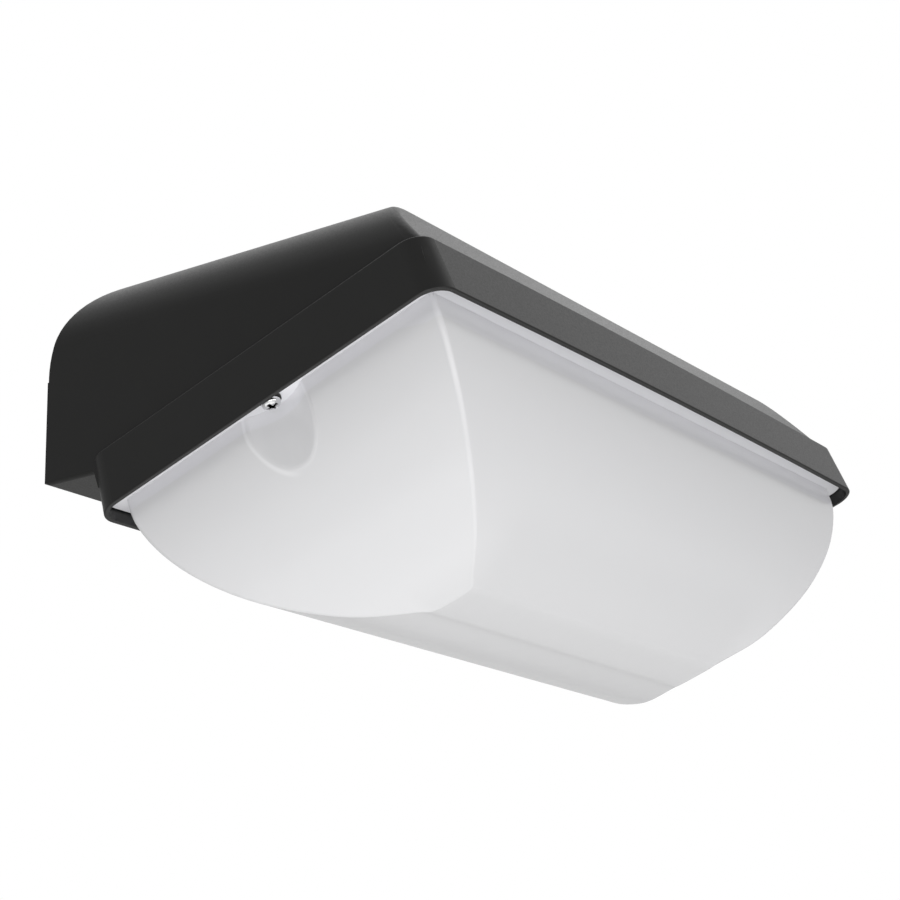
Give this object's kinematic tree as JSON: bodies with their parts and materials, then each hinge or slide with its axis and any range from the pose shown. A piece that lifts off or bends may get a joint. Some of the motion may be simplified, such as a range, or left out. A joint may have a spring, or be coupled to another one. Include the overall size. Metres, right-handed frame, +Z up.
{
  "type": "porch light",
  "caption": "Wall-mounted porch light: a black hood with a tilted skirted mouth, closed by a large opal diffuser that lifts off when its captive end screws are undone.",
  "frame": {"origin": "centre of the four wall holes, on the wall's surface at the back of the foam seal", "axes": "+X along the wall to the right as seen from the front, +Y into the wall, +Z up; the light stands out towards -Y"},
  "size_m": [0.32, 0.1803, 0.133],
  "materials": {
    "black_plastic": "satin moulded",
    "opal_plastic": "opal, glossy",
    "bright_steel": "bright",
    "spring_steel": "dull",
    "zinc_steel": "zinc plated",
    "black_rubber": "matte",
    "grey_silicone": "matte",
    "black_foam": "closed-cell foam",
    "brass": "machined",
    "tinned_brass": "tinned",
    "white_sheet": "white powder coat",
    "white_board": "white solder mask",
    "phosphor": "satin",
    "white_plastic": "matte",
    "grey_plastic": "fine texture",
    "green_board": "solder mask",
    "orange_plastic": "glossy",
    "brown_insulation": "smooth",
    "blue_insulation": "smooth",
    "green_insulation": "smooth",
    "red_insulation": "smooth"
  },
  "bodies": {
    "housing": {"housing": "black_plastic", "threaded_inserts": "brass", "diffuser_gasket": "grey_silicone", "gear_tray": "white_sheet", "tray_screws": "zinc_steel", "tray_bushing": "black_rubber", "led_board_front": "white_board", "led_board_rear": "white_board", "led_chips_front": "phosphor", "led_chips_rear": "phosphor", "board_screws": "zinc_steel", "board_connectors": "white_plastic", "driver_case": "grey_plastic", "driver_board": "green_board", "driver_lid": "grey_plastic", "driver_lid_screws": "zinc_steel", "terminal_block": "grey_plastic", "terminal_pin": "zinc_steel", "gear_screws": "zinc_steel", "live_wire": "brown_insulation", "neutral_wire": "blue_insulation", "earth_wire": "green_insulation", "earth_lug": "tinned_brass", "earth_screw": "zinc_steel", "led_wires": "red_insulation", "wall_gasket": "black_foam", "cable_grommet": "black_rubber", "mounting_seals": "black_rubber"},
    "diffuser": {"diffuser": "opal_plastic", "screw_washers": "black_rubber"},
    "cover_screw_left": {"cover_screw_left": "bright_steel", "screw_clip_left": "spring_steel"},
    "cover_screw_right": {"cover_screw_right": "bright_steel", "screw_clip_right": "spring_steel"},
    "terminal_lever_live": {"terminal_lever_live": "orange_plastic"},
    "terminal_lever_neutral": {"terminal_lever_neutral": "orange_plastic"},
    "terminal_lever_earth": {"terminal_lever_earth": "orange_plastic"}
  },
  "joints": [
    {"name": "diffuser_lift", "type": "slide", "parent": "housing", "child": "diffuser", "axis": [0, -0.3297, -0.9441], "range_m": [0, 0.12]},
    {"name": "cover_screw_left_turn", "type": "hinge", "parent": "diffuser", "child": "cover_screw_left", "pos_m": [-0.1515, -0.10307, -0.00974], "axis": [0, -0.3297, -0.9441], "continuous": true},
    {"name": "cover_screw_right_turn", "type": "hinge", "parent": "diffuser", "child": "cover_screw_right", "pos_m": [0.1515, -0.10307, -0.00974], "axis": [0, -0.3297, -0.9441], "continuous": true},
    {"name": "terminal_lever_live_open", "type": "hinge", "parent": "housing", "child": "terminal_lever_live", "pos_m": [0.107, -0.08471, 0.01097], "axis": [0, 0.9441, -0.3297], "range_deg": [0, 90]},
    {"name": "terminal_lever_neutral_open", "type": "hinge", "parent": "housing", "child": "terminal_lever_neutral", "pos_m": [0.107, -0.09463, 0.01443], "axis": [0, 0.9441, -0.3297], "range_deg": [0, 90]},
    {"name": "terminal_lever_earth_open", "type": "hinge", "parent": "housing", "child": "terminal_lever_earth", "pos_m": [0.107, -0.10454, 0.01789], "axis": [0, 0.9441, -0.3297], "range_deg": [0, 90]}
  ]
}
